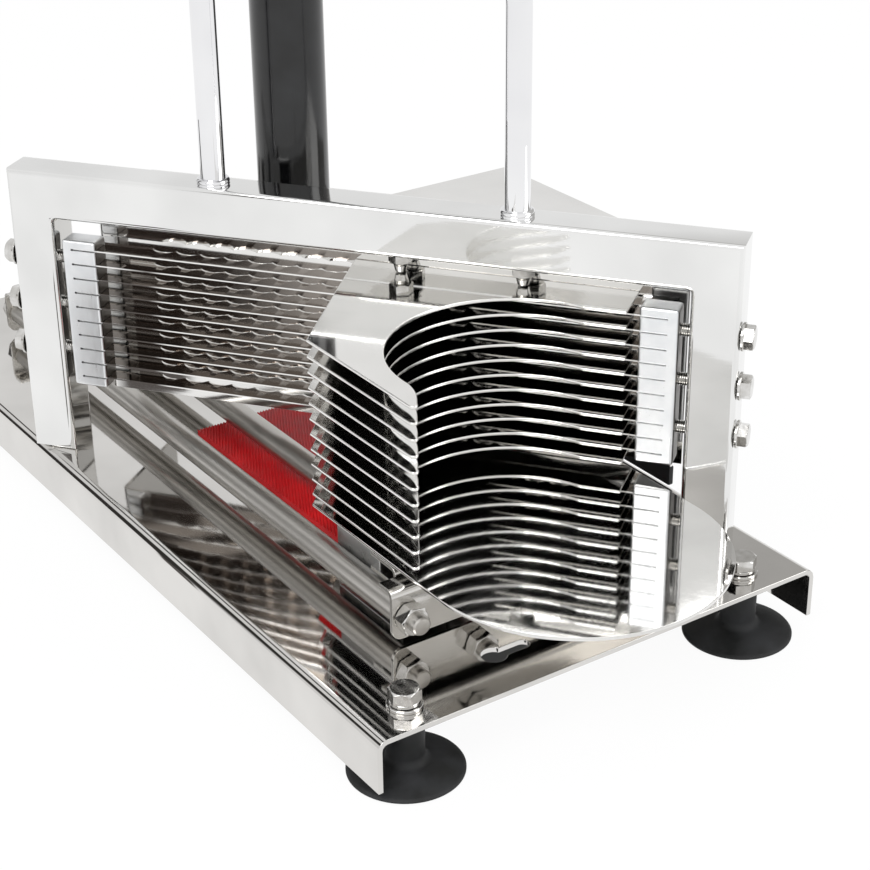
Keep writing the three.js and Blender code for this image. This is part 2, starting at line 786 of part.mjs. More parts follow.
function pusherBody() {
  const deckLow = hoodTopZ - wallThickness;
  const half = wallThickness / 2;
  const wallLine = wallFront + half;
  const endLine = wallLeft + half;
  const sheet = foldedSection([[wallRight, wallLine], [endLine, wallLine], [endLine, hoodRear]],
    wallThickness, hoodBend);
  const wall = slab(sheet, trayUnderside, hoodTopZ);
  const frontRight = new THREE.Vector2(wallRight, wallFront);
  const stepRight = toFrame(hoodRightX, hoodRightStartY);
  const rearRight = toFrame(hoodRightX, hoodRearY);
  const rearStep = alongHood(hoodRear, hoodRearY);
  const rearLeft = new THREE.Vector2(wallLeft, hoodRear);
  const frontLeft = new THREE.Vector2(wallLeft, wallFront);
  const outline = new THREE.Shape([frontRight, stepRight, rearRight, rearStep, rearLeft, frontLeft]);
  const deck = slab(outline, deckLow, hoodTopZ);
  const flangeLine = [
    toFrame(hoodRightX - half, hoodRightStartY), toFrame(hoodRightX - half, hoodRearY - half),
    alongHood(hoodRear - half, hoodRearY - half), new THREE.Vector2(wallLeft, hoodRear - half),
  ];
  const flange = slab(foldedSection(flangeLine.map(({ x, y }) => [x, y]), wallThickness, hoodBend),
    hoodTopZ - hoodFlange, hoodTopZ);
  const sideLine = [
    toFrame(hoodRightX - half, hoodRightStartY + hoodBend),
    toFrame(hoodRightX - half, hoodRearY - hoodFlange),
  ];
  const side = slab(foldedSection(sideLine.map(({ x, y }) => [x, y]), hoodSideThickness, hoodBend),
    hoodSideClearance, deckLow + half);
  const gripPost = upright(pushPostRadius, pushGripAlong, pushGripAcross,
    deckLow, hoodTopZ + pushPostHeight, smallRoundSides);
  return joined([wall, deck, flange, side, gripPost]);
}

addPart(hood, 'pusher_body', pusherBody(), mirrorSteel);

// Push grip
function pushGrip() {
  const bore = pushPostRadius + gripClearance;
  const boreEnd = pushPostHeight + gripClearance;
  return turned([
    [bore, 0], [pushGripRadius - pushGripEdge / 2, 0], [pushGripRadius, pushGripEdge / 2],
    [pushGripRadius, pushGripHeight - pushGripEdge], [pushGripRadius - pushGripEdge, pushGripHeight],
    [0, pushGripHeight], [0, boreEnd], [bore, boreEnd], [bore, 0],
  ]).translate([pushGripAlong, pushGripAcross, hoodTopZ + touchGap]);
}

addPart(hood, 'push_grip', pushGrip(), blackGloss);

// Carriage channel
function carriageChannel() {
  const web = channelY + foldedSheet / 2;
  const farY = channelY + channelDepth;
  const low = channelUnderside + foldedSheet / 2;
  const high = trayUnderside - touchGap - foldedSheet / 2;
  const corners = [[farY, low], [web, low], [web, high], [farY, high]];
  return runAlongX(foldedSection(corners, foldedSheet, foldRadius), trayLeftX, trayRightX);
}

addPart(slicer, 'carriage_channel', carriageChannel(), satinSteel);

// The shoe runs between the two rods; behind the channel it reaches up to the tray
function slideShoe() {
  const leftX = outerRodX + rodRadius + shoeClearance;
  const rightX = innerRodX - rodRadius - shoeClearance;
  const near = channelY + foldedSheet + shoeEndInset;
  const far = near + shoeLength;
  const high = channelUnderside - touchGap;
  const runner = block(leftX, rightX, near, far, high - shoeHeight, high);
  const riserNear = channelY + channelDepth + touchGap;
  const riser = block(leftX, rightX, riserNear, far, rodZ, trayUnderside - touchGap);
  return joined([runner, riser]);
}

addPart(slicer, 'slide_shoe', slideShoe(), satinAluminium);

// The origin goes to the middle of the footprint, at the level that the feet stand on
const extent = new THREE.Box3().setFromObject(slicer, true);
const middle = extent.getCenter(new THREE.Vector3());
slicer.position.set(-middle.x, -middle.y, -extent.min.z);
slicer.updateMatrixWorld(true);

export default slicer;
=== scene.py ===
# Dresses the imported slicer. Blender works in metres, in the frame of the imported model.
# Pieces are drawn in millimetres, in the same base and frame coordinates as the part's source.

import json
import math

import bmesh
import bpy
from mathutils import Matrix, Vector

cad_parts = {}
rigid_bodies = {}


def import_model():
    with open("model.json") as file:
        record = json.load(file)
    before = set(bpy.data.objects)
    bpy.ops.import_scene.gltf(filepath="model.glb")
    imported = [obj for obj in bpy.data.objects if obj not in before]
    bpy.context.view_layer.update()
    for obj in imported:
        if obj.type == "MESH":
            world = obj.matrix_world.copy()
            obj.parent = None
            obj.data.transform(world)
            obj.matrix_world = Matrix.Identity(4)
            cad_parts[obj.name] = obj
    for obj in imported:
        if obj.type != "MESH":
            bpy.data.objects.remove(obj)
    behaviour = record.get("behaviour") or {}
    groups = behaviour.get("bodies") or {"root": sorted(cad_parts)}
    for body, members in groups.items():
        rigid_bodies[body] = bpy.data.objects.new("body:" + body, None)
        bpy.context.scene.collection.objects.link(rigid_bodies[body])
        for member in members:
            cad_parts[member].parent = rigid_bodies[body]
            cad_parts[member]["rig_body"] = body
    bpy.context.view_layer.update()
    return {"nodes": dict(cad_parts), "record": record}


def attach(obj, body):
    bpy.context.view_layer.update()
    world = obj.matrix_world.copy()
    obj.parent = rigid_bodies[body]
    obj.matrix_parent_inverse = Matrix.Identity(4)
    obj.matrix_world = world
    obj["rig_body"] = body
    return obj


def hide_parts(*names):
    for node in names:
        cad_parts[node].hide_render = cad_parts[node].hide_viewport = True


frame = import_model()

# Sizes of the pieces are in millimetres, as in the part's source. Those of the studio are in metres
MM = 0.001

# Base and the slanted blade frame on it, with the frame's window
BASE_ORIGIN = Vector((1.955, -194.774, 25.0))
BASE_LENGTH = 412.0
FRAME_ANGLE = math.radians(52.5)
FRAME_PLACE = Vector((-2.4, 148.4, 0.0))
FRAME_FRONT = -8.5
FRAME_TOP = 119.2
LEG_WIDTH = 18.2
WINDOW_HALF = 125.25
WINDOW_TOP = 100.3

# Suction feet: the lip as radii and heights above the floor, then the neck and the fillet at its foot
FOOT_X = (-75.7, 70.5)
FOOT_Y = (13.0, 399.0)
FOOT_BOTTOM = -25.0
FOOT_TOP = -2.3
FOOT_LIP = ((0, 2.6), (12, 2.2), (16.5, 1.1), (18.6, 0), (19.6, 0), (20.1, 0.35), (20.1, 0.9), (19.7, 1.4),
            (19.0, 1.7), (15.0, 2.9), (11.0, 3.9))
NECK_RADIUS = 6.5
NECK_FOOT = 4.3
NECK_FILLET = 3.0
NECK_CHAMFER = 0.4

# Blades: the set reaches from block to block, with a tang held in each. The grind is wider behind a scallop
TOP_BLADE = 88.3
BLADE_COUNT = 10
BLADE_PITCH = 6.0
BLADE_THICKNESS = 0.5
BLADE_FRONT = -6.5
BLADE_REAR = 3.2
BLADE_SET = (-108.2, 107.0)
TANG = 10.2
PLAIN_BLADE = 20.0
TOOTH_PITCH = 10.0
TOOTH_DEPTH = 2.0
TOOTH_STEPS = 10
GRIND = 1.0
HOLLOW_GRIND = 1.3
GRIND_START = 0.01
KEEN_EDGE = 0.05

# Blade blocks and the tension bolts that hold them
BLOCK_WIDTH = 14.5
BLOCK_DEPTH = 9.5
BLOCK_LOW = 30.0
BLOCK_HIGH = 92.0
BLOCK_SETBACK = 1.0
BLOCK_ROUND = 1.3
SLOT_DEPTH = 10.5
SLOT_WIDTH = 0.8
SAW_OVERRUN = 3.0
BOLT_ACROSS = -3.5
BOLT_HEIGHTS = (83.5, 64.2, 44.9)
BOLT_GAP = 0.3
BOLT_BITE = 2.7

# Handle over the frame, and the grip of the pusher
HANDLE_HALF = 59.5
HANDLE_RADIUS = 4.75
HANDLE_BAR = 215.2
HANDLE_BEND = 20.0
COLLAR_BORE = 4.7
COLLAR_FOOT = 6.3
COLLAR_ROUND = 1.2
GRIP_RADIUS = 13.5
GRIP_LENGTH = 76.0
GRIP_BORE = 5.05
PUSH_GRIP = (-41.0, 34.0)
PUSH_GRIP_RADIUS = 13.9
PUSH_GRIP_HEIGHT = 104.0
PUSH_GRIP_GAP = 0.3
HOOD_TOP = 100.0

# Hold-down screws: places along the frame, and gaps to the top plate and to the rail
HOLD_DOWNS = (14.7, 62.0)
SCREW_GAP = 0.45
NUT_GAP = 0.3

# Guide rods with their threaded ends and nuts
ROD_X = (("outer", -53.9), ("inner", -24.7))
ROD_Z = 10.7
ROD_RADIUS = 5.0
ROD_SHOULDER = 45.8
ROD_CHAMFER = 0.5
STUD_RADIUS = 3.5
STUD_END = 34.5
NUT_LOW = (("front", 38.2), ("rear", BASE_LENGTH - 43.7))

# Ribbed mat: its reach in X and Y, then one rib as shares of the pitch and of the depth
MAT = (-38.0, 36.0, 90.0, 225.0)
MAT_THICKNESS = 3.0
RIB_PITCH = 1.2
RIB_DEPTH = 0.5
RIB_ANGLE = math.radians(62)
RIB = ((0.0, 0.0), (0.2, 1.0), (0.55, 1.0), (0.75, 0.0))

# Plates and tray of the pusher, in plan
PLATE_TOP = 91.9
PLATE_THICKNESS = 1.2
PLATE_RIGHT = 103.7
PLATE_FRONT = -13.0
PLATE_SEAM = 6.8
PLATE_LEFT = -54.4
PLATE_CORNER_Y = 103.8
PLATE_TIP_Y = 38.4
PLATE_TIP_RADIUS = 1.6
CUP = Vector((-0.8, 55.5))
CUP_RADIUS = 44.5
CUP_END_LAND = 15.16
TRAY_LEFT = -52.5
TRAY_RIGHT = 59.0
TRAY_CORNER_Y = 107.5
TRAY_TOP = 25.3
TRAY_THICKNESS = 1.3
TONGUE_Y = 26.2

# Dark rubber strip on the hood's right side sheet, put there as painted shade
SHADE_STRIP_X = (91.8, 94.2)
SHADE_STRIP_Y = (78.2, 176.8)
SHADE_STRIP_Z = (0.5, 8.6)

BASE = Matrix.Scale(MM, 4) @ Matrix.Translation(BASE_ORIGIN)
SLANT = BASE @ Matrix.Translation(FRAME_PLACE) @ Matrix.Rotation(-FRAME_ANGLE, 4, "Z")
ALONG_X = Matrix.Rotation(math.pi / 2, 4, "Y")
ALONG_Y = Matrix.Rotation(-math.pi / 2, 4, "X")


# Materials

def linear(code):
    def channel(value):
        value /= 255
        return value / 12.92 if value <= 0.04045 else ((value + 0.055) / 1.055) ** 2.4
    return tuple(channel(code >> shift & 255) for shift in (16, 8, 0)) + (1.0,)


# Adds a node. An input is a value, a socket to link, or a node whose first output is linked
def add(tree, kind, inputs=None, **settings):
    made = tree.nodes.new(kind)
    for key, value in settings.items():
        setattr(made, key, value)
    for key, value in (inputs or {}).items():
        if isinstance(value, bpy.types.Node):
            value = value.outputs[0]
        if isinstance(value, bpy.types.NodeSocket):
            tree.links.new(value, made.inputs[key])
        else:
            made.inputs[key].default_value = value
    return made


def empty_tree(owner):
    owner.use_nodes = True
    owner.node_tree.nodes.clear()
    return owner.node_tree


def finish_surface(tree, inputs):
    shader = add(tree, "ShaderNodeBsdfPrincipled", inputs)
    add(tree, "ShaderNodeOutputMaterial", {"Surface": shader})


# A noise pattern on Object coordinates, turned to follow the piece, with its grain in millimetres
def noise(tree, grain, angle=0.0, detail=3.0):
    place = add(tree, "ShaderNodeTexCoord").outputs["Object"]
    turned = add(tree, "ShaderNodeMapping", {"Vector": place, "Rotation": (0, 0, angle)})
    scales = tuple(1 / (MM * size) for size in grain)
    scaled = add(tree, "ShaderNodeMapping", {"Vector": turned, "Scale": scales})
    return add(tree, "ShaderNodeTexNoise", {"Vector": scaled, "Scale": 1.0, "Detail": detail})


# The product of ramps, each of which rises from 0 at its first limit to 1 at its second
def mask(tree, *ramps):
    parts = [add(tree, "ShaderNodeMapRange", {"Value": value, "From Min": start, "From Max": end})
             for value, start, end in ramps]
    product = parts[0]
    for part in parts[1:]:
        product = add(tree, "ShaderNodeMath", {0: product, 1: part}, operation="MULTIPLY")
    return product


# Most of a noise pattern lies between these two values
NOISE_LOW = 0.3
NOISE_HIGH = 0.7

BUMP_HEIGHT = 0.2 * MM
DUST_PATCH = 11.11


# Bare metal: grain lines run where the grain is long, and clouds of handling marks lie over them.
# Contrast is how much both of them change the roughness
def metal(name, light, dark, roughness, grain, angle=0.0, bump=0.0, clouds=33.33, contrast=1.0, tint=None):
    material = bpy.data.materials.new(name)
    tree = empty_tree(material)
    lines = noise(tree, grain, angle)
    marks = noise(tree, (clouds, clouds, clouds), detail=2.0)
    colour = add(tree, "ShaderNodeMix", {0: mask(tree, (marks, NOISE_LOW, NOISE_HIGH)), 6: linear(light),
                                        7: linear(dark)}, data_type="RGBA").outputs[2]
    fine = add(tree, "ShaderNodeMapRange", {"Value": lines, "From Min": NOISE_LOW, "From Max": NOISE_HIGH,
                                            "To Min": (1 - 0.25 * contrast) * roughness,
                                            "To Max": (1 + 0.3 * contrast) * roughness})
    smeared = add(tree, "ShaderNodeMapRange", {"Value": marks, "From Min": 0.35, "From Max": 0.75,
                                               "To Min": 1 - 0.2 * contrast, "To Max": 1 + 0.35 * contrast})
    rough = add(tree, "ShaderNodeMath", {0: fine, 1: smeared}, operation="MULTIPLY")
    raised = add(tree, "ShaderNodeBump", {"Height": lines, "Strength": bump, "Distance": BUMP_HEIGHT})
    finish_surface(tree, {"Base Color": tint(tree, colour) if tint else colour, "Metallic": 1.0,
                          "Roughness": rough, "Normal": raised})
    return material


# Rubber and plastic: pigment, the fine texture of the mould and a little dust
def moulded(name, light, dark, roughness, specular, pores, bump):
    material = bpy.data.materials.new(name)
    tree = empty_tree(material)
    texture = noise(tree, (pores, pores, pores), detail=2.0)
    dust = noise(tree, (DUST_PATCH, DUST_PATCH, DUST_PATCH), detail=6.0)
    colour = add(tree, "ShaderNodeMix", {0: mask(tree, (dust, 0.4, 0.75)), 6: linear(dark), 7: linear(light)},
                 data_type="RGBA").outputs[2]
    rough = add(tree, "ShaderNodeMapRange", {"Value": dust, "From Min": NOISE_LOW, "From Max": NOISE_HIGH,
                                             "To Min": 0.85 * roughness, "To Max": 1.3 * roughness})
    raised = add(tree, "ShaderNodeBump", {"Height": texture, "Strength": bump, "Distance": BUMP_HEIGHT})
    finish_surface(tree, {"Base Color": colour, "Roughness": rough, "Specular IOR Level": specular,
                          "Normal": raised})
    return material


# By the distance across the frame: a painted highlight along a blade's near edge, and painted glints
# on the ground bevels behind its scallops
def bevels_and_painted_glints(tree, rolled):
    near_edge_highlight = (-6.2, -6.3)
    scallops = (0.6, 0.9)
    across_frame = Vector((math.sin(FRAME_ANGLE), math.cos(FRAME_ANGLE), 0.0))
    middle = (FRAME_PLACE + BASE_ORIGIN).dot(across_frame)
    place = add(tree, "ShaderNodeTexCoord").outputs["Object"]
    across = add(tree, "ShaderNodeVectorMath", {0: place, 1: across_frame}, operation="DOT_PRODUCT").outputs["Value"]
    near_highlight, far = (mask(tree, (across, MM * (middle + start), MM * (middle + end)))
                 for start, end in (near_edge_highlight, scallops))
    # Painted highlight at the near edge, painted glints on the ground bevels
    ground = add(tree, "ShaderNodeMath", {0: near_highlight, 1: far}, operation="MAXIMUM")
    return add(tree, "ShaderNodeMix", {0: ground, 6: rolled, 7: linear(0xEDECEA)}, data_type="RGBA").outputs[2]


# The ends of a casting, which face along the frame towards the blades and the legs, are painted darker as shade
def painted_end_shade(tree, rubbed):
    along_frame = (math.cos(FRAME_ANGLE), -math.sin(FRAME_ANGLE), 0.0)
    facing = add(tree, "ShaderNodeTexCoord").outputs["Normal"]
    along = add(tree, "ShaderNodeVectorMath", {0: facing, 1: along_frame}, operation="DOT_PRODUCT").outputs["Value"]
    either_end = add(tree, "ShaderNodeMath", {0: along}, operation="ABSOLUTE")
    # Painted shade on the faces that look along the frame
    ends = mask(tree, (either_end, 0.5, 0.9))
    return add(tree, "ShaderNodeMix", {0: ends, 6: rubbed, 7: linear(0x7C7976)}, data_type="RGBA").outputs[2]


# Real polishing lines are a few hundredths of a millimetre apart. Here they are drawn about a millimetre
# apart, and the pores of the mouldings a few tenths, so that they show
materials = {
    # Stainless sheet, polished: clear reflections with a trace of the rolling grain along the base
    "base_steel": metal("polished_stainless_base", 0xDDDBD8, 0xD0CECB, roughness=0.055,
                        grain=(1.111, 71.43, 1.111), bump=0.01),
    # Square stainless tube, mirror-polished: near-white, with soft lines along the frame
    "frame_steel": metal("mirror_stainless_frame", 0xEDEDEC, 0xE2E2E1, roughness=0.06,
                         grain=(62.5, 0.9091, 0.9091), angle=FRAME_ANGLE, bump=0.015),
    # Stainless sheet, mirror-polished: the sharpest reflections of all
    "tray_steel": metal("mirror_stainless_tray", 0xEAE9E7, 0xDEDDDB, roughness=0.04,
                        grain=(83.33, 1.111, 1.111), bump=0.01),
    # Stainless sheet, polished after folding: slightly softer reflections
    "hood_steel": metal("polished_stainless_hood", 0xEBEAE8, 0xE2E1DF, roughness=0.07,
                        grain=(55.56, 1.0, 1.0), angle=FRAME_ANGLE, bump=0.02),
    # Stainless plates, polished on both faces and tumbled: bright rounded edges
    "plate_steel": metal("polished_stainless_plates", 0xF1F0EE, 0xE8E7E4, roughness=0.06,
                         grain=(50.0, 0.9091, 0.9091), angle=FRAME_ANGLE, bump=0.03),
    # Folded stainless, satin: soft reflections, drawn out across the grain
    "folded_steel": metal("satin_stainless_folded", 0xD8D6D2, 0xC9C7C3, roughness=0.15,
                          grain=(62.5, 0.9091, 0.9091), bump=0.05),
    # Blade steel: dark warm grey faces, a painted highlight at the near edge, painted glints on the ground bevels
    "blade_steel": metal("ground_blade_steel", 0x8F8780, 0x8F8780, roughness=0.06,
                         grain=(16.67, 0.6667, 0.6667), angle=FRAME_ANGLE, bump=0.02, clouds=16.67,
                         tint=bevels_and_painted_glints),
    # Steel rod, centreless-ground: an even satin with faint rings round it
    "rod_steel": metal("ground_steel_rod", 0xC2BFBA, 0xB6B3AE, roughness=0.33,
                       grain=(11.11, 0.5556, 11.11), bump=0.001, clouds=71.43, contrast=0.3),
    # Stainless nuts and bolts, cold-formed and tumbled: bright, with small dents and marks
    "fastener_steel": metal("bright_stainless_hardware", 0xDDDCDA, 0xC2C0BC, roughness=0.12,
                            grain=(1.429, 1.429, 1.429), bump=0.06, clouds=3.846),
    # Chrome plating: hard, cool reflections with almost no haze
    "chrome": metal("chrome_plating", 0xF0F0F1, 0xE6E6E8, roughness=0.035,
                    grain=(16.67, 16.67, 16.67), bump=0.004),
    # Cast aluminium, rubbed down with fine paper: a pale matt front with fine upright scratches; its ends painted
    # darker as shade
    "aluminium": metal("rubbed_cast_aluminium", 0xF2F3F4, 0xE3E5E7, roughness=0.34,
                       grain=(0.6667, 0.6667, 6.25), angle=FRAME_ANGLE, bump=0.035, clouds=9.091,
                       contrast=0.6, tint=painted_end_shade),
    # Black rubber, moulded: matt, with a soft sheen and dusty patches
    "foot_rubber": moulded("black_moulded_rubber", 0x2C2D2F, 0x141515, roughness=0.55, specular=0.35,
                           pores=0.3846, bump=0.10),
    # Black plastic, gloss-moulded: clear highlights on a deep colour
    "grip_black": moulded("gloss_black_plastic", 0x17181A, 0x050506, roughness=0.13, specular=0.55,
                          pores=1.429, bump=0.01),
    # Red rubber, ribbed in the mould: an even colour with a dull shine on the ribs
    "mat_red": moulded("red_ribbed_rubber", 0xDE1C22, 0xC0141B, roughness=0.42, specular=0.40,
                       pores=0.3125, bump=0.08),
}
slots = {part["node"]: part["material_slot"] for part in frame["record"]["subparts"]}


# Meshes

def as_mesh(name, form):
    mesh = bpy.data.meshes.new(name)
    form.to_mesh(mesh)
    form.free()
    return mesh


def placed(name, data):
    item = bpy.data.objects.new(name, data)
    bpy.context.scene.collection.objects.link(item)
    return item


def baked(item):
    graph = bpy.context.evaluated_depsgraph_get()
    return bpy.data.meshes.new_from_object(item.evaluated_get(graph))


def only(items, kind):
    return [item for item in items if isinstance(item, kind)]


def piece(name, form, matrix, node, sharp=35.0, slot=None):
    slot = slot or slots[node]
    form.transform(matrix)
    bmesh.ops.remove_doubles(form, verts=form.verts[:], dist=1e-7)
    bmesh.ops.recalc_face_normals(form, faces=form.faces[:])
    mesh = as_mesh(name, form)
    mesh.shade_smooth()
    mesh.set_sharp_from_angle(angle=math.radians(sharp))
    mesh.materials.append(materials[slot])
    item = placed(name, mesh)
    item.modifiers.new("even", "WEIGHTED_NORMAL").keep_sharp = True
    shaded = baked(item)
    item.modifiers.clear()
    item.data = shaded
    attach(item, frame["nodes"][node]["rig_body"])
    return item


def stands_for(name, form, matrix, node, sharp=35.0):
    item = piece(name, form, matrix, node, sharp)
    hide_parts(node)


# Breaks the edges that turn by more than 50 degrees
def bevelled(form, width, segments=2):
    limit = math.radians(50)
    edges = [edge for edge in form.edges if edge.is_manifold and edge.calc_face_angle() > limit]
    bmesh.ops.bevel(form, geom=edges, offset=width, segments=segments, profile=0.5, affect="EDGES",
                    clamp_overlap=True, material=-1)
    return form


def prism(points, low, high):
    form = bmesh.new()
    face = form.faces.new([form.verts.new((x, y, low)) for x, y in points])
    grown = bmesh.ops.extrude_face_region(form, geom=[face])["geom"]
    bmesh.ops.translate(form, verts=only(grown, bmesh.types.BMVert), vec=(0, 0, high - low))
    bmesh.ops.recalc_face_normals(form, faces=form.faces[:])
    return form


def lathe(profile, sides=64):
    form = bmesh.new()
    points = [form.verts.new((radius, 0, height)) for radius, height in profile]
    edges = [form.edges.new(pair) for pair in zip(points, points[1:])]
    bmesh.ops.spin(form, geom=points + edges, cent=(0, 0, 0), axis=(0, 0, 1), angle=2 * math.pi,
                   steps=sides, use_merge=True)
    bmesh.ops.remove_doubles(form, verts=form.verts[:], dist=1e-5)
    bmesh.ops.recalc_face_normals(form, faces=form.faces[:])
    return form


# Rings of points, each extruded from the one before, with both ends filled
def loft(rings):
    form = bmesh.new()
    verts = [form.verts.new(point) for point in rings[0]]
    edges = first = [form.edges.new(pair) for pair in zip(verts, verts[1:] + verts[:1])]
    for ring in rings[1:]:
        grown = bmesh.ops.extrude_edge_only(form, edges=edges)["geom"]
        edges = only(grown, bmesh.types.BMEdge)
        fresh = set(only(grown, bmesh.types.BMVert))
        verts = [next(edge.other_vert(vert) for edge in vert.link_edges if edge.other_vert(vert) in fresh)
                 for vert in verts]
        for vert, point in zip(verts, ring):
            vert.co = point
    for end in (first, edges):
        bmesh.ops.edgeloop_fill(form, edges=end)
    bmesh.ops.recalc_face_normals(form, faces=form.faces[:])
    return form


def merge(forms):
    total = forms[0]
    for form in forms[1:]:
        mesh = as_mesh("part", form)
        total.from_mesh(mesh)
        bpy.data.meshes.remove(mesh)
    return total


def moved(form, matrix):
    form.transform(matrix)
    return form


# A copy of a CAD solid with flat faces joined up and its edges broken
def refined(node, width):
    form = bmesh.new()
    form.from_mesh(frame["nodes"][node].data)
    bmesh.ops.remove_doubles(form, verts=form.verts[:], dist=1e-6)
    bmesh.ops.dissolve_limit(form, angle_limit=math.radians(0.5), verts=form.verts[:], edges=form.edges[:])
    return bevelled(form, width * MM) if width else form


def arc(centre, radius, start, end, steps):
    angles = [math.radians(start + (end - start) * i / steps) for i in range(steps + 1)]
    return [(centre[0] + radius * math.cos(a), centre[1] + radius * math.sin(a)) for a in angles]


def rectangle(x, y):
    return [(x[0], y[0]), (x[1], y[0]), (x[1], y[1]), (x[0], y[1])]


# Plan places along and across the slanted frame, as X and Y of the base
def from_frame(along, across):
    c, s = math.cos(FRAME_ANGLE), math.sin(FRAME_ANGLE)
    return (FRAME_PLACE.x + along * c + across * s, FRAME_PLACE.y - along * s + across * c)


def line_at_x(across, x):
    start = from_frame(0, across)
    return (x, start[1] - (x - start[0]) * math.tan(FRAME_ANGLE))


def line_at_cut(across, corner):
    start = from_frame(0, across)
    slope = math.tan(FRAME_ANGLE)
    run = (start[1] - corner[1] - (corner[0] - start[0]) * slope) / (1 + slope)
    return (corner[0] + run, corner[1] + run)


# Small hardware

def cylinder(radius, low, high):
    return lathe([(0, low), (radius, low), (radius, high), (0, high)], sides=32)


# A nut or bolt head whose corners a cone takes off, down to a round face
def hexagonal(across_flats, low, high, chamfer_low=False, chamfer_high=True):
    flat = across_flats / 2
    corner = across_flats / math.sqrt(3)
    face = 0.95 * flat
    slope = 1.75
    steps = [(corner - face) / slope * i / 4 for i in range(5)]
    below = [(low + step, face + slope * step) for step in steps] if chamfer_low else [(low, corner)]
    above = [(high - step, face + slope * step) for step in reversed(steps)] if chamfer_high else [(high, corner)]
    rings = []
    for height, limit in below + above:
        ring = []
        for degrees in range(0, 360, 5):
            angle = math.radians(degrees)
            radius = min(flat / math.cos(math.radians(degrees % 60 - 30)), limit)
            ring.append((radius * math.cos(angle), radius * math.sin(angle), height))
        rings.append(ring)
    return loft(rings)


# A screw whose thread is drawn as rings
def threaded(radius, low, high, pitch=0.8, depth=0.35, tip=0.0):
    profile = [(0, low), (radius - tip - depth, low)]
    height = low + tip
    while height + pitch < high:
        profile += [(radius - depth, height), (radius, height + pitch / 2)]
        height += pitch
    return lathe(profile + [(radius - depth, high), (0, high)], sides=32)


# One turn of square wire that climbs from one side of its gap to the other
def split_washer(inner, outer, low, thickness, rise):
    gap = 4
    steps = 60
    rings = []
    for i in range(steps + 1):
        angle = math.radians(gap + (360 - 2 * gap) * i / steps)
        c, s = math.cos(angle), math.sin(angle)
        z = low + rise * i / steps
        rings.append([(inner * c, inner * s, z), (outer * c, outer * s, z),
                      (outer * c, outer * s, z + thickness), (inner * c, inner * s, z + thickness)])
    return bevelled(loft(rings), width=0.15, segments=1)


def washer(inner, outer, low, thickness):
    edge = 0.2
    high = low + thickness
    return lathe([(inner, low), (outer - edge, low), (outer, low + edge), (outer, high - edge),
                  (outer - edge, high), (inner, high), (inner, low)])


# Base, brackets, frame and the other folded pieces keep their CAD form, with broken edges
for node, width in (("base_plate", 0.25), ("blade_frame", 0), ("rod_bracket_front", 0.2),
                    ("rod_bracket_rear", 0.2), ("pusher_body", 0.25), ("carriage_channel", 0.2),
                    ("slide_shoe", 0.4)):
    stands_for(f"{node}_sheet", refined(node, width), Matrix(), node, sharp=42.0)


# Suction feet: a dished cup with a thin lip and a small fillet up to the neck
def suction_foot():
    lip = [(radius, FOOT_BOTTOM + height) for radius, height in FOOT_LIP]
    fillet = arc((NECK_RADIUS + NECK_FILLET, FOOT_BOTTOM + NECK_FOOT + NECK_FILLET), NECK_FILLET, 270, 180, 6)
    neck = [(NECK_RADIUS, FOOT_TOP - NECK_CHAMFER), (NECK_RADIUS - NECK_CHAMFER, FOOT_TOP), (0, FOOT_TOP)]
    return lathe(lip + fillet + neck, sides=96)


def foot_bolt():
    return merge([
        washer(inner=3.1, outer=6.2, low=0.0, thickness=1.2),
        split_washer(inner=3.1, outer=5.2, low=1.25, thickness=1.2, rise=0.35),
        hexagonal(across_flats=10.0, low=2.8, high=7.0),
        cylinder(radius=3.0, low=-2.4, high=2.9),
    ])


# Each screw is left at another turn, as a spanner leaves it
index = 0
for y in FOOT_Y:
    for x in FOOT_X:
        index += 1
        place = BASE @ Matrix.Translation((x, y, 0)) @ Matrix.Rotation(math.radians(17 * index), 4, "Z")
        stands_for(f"rubber_cup_{index}", suction_foot(), place, f"suction_foot_{index}")
        stands_for(f"foot_screw_{index}", foot_bolt(), place, f"foot_bolt_{index}", sharp=30.0)


# Blades: hollow-ground crescents behind each scallop of the far edge
def blade(z):
    first = BLADE_SET[0] - TANG
    last = BLADE_SET[1] + TANG
    start = BLADE_SET[0] + PLAIN_BLADE
    samples = [(first, 0.0), (start - GRIND_START, 0.0)]
    for i in range(int((BLADE_SET[1] - start) / TOOTH_PITCH) * TOOTH_STEPS + 1):
        share = (i % TOOTH_STEPS) / TOOTH_STEPS
        samples.append((start + TOOTH_PITCH * i / TOOTH_STEPS, 4 * share * (1 - share)))
    samples.append((last, 0.0))
    low = z - BLADE_THICKNESS / 2
    high = z + BLADE_THICKNESS / 2
    rings = []
    for along, hollow in samples:
        edge = BLADE_REAR - TOOTH_DEPTH * hollow
        ground = edge - GRIND - HOLLOW_GRIND * hollow
        lip = low + KEEN_EDGE if start <= along < last else high
        rings.append([(along, BLADE_FRONT, low), (along, ground, low), (along, edge, low), (along, edge, lip),
                      (along, ground, high), (along, BLADE_FRONT, high)])
    return loft(rings)


blade_heights = [TOP_BLADE - number * BLADE_PITCH for number in range(BLADE_COUNT)]
for number, z in enumerate(blade_heights, 1):
    stands_for(f"blade_{number:02d}_ground", blade(z), SLANT, f"blade_{number:02d}", sharp=12.0)


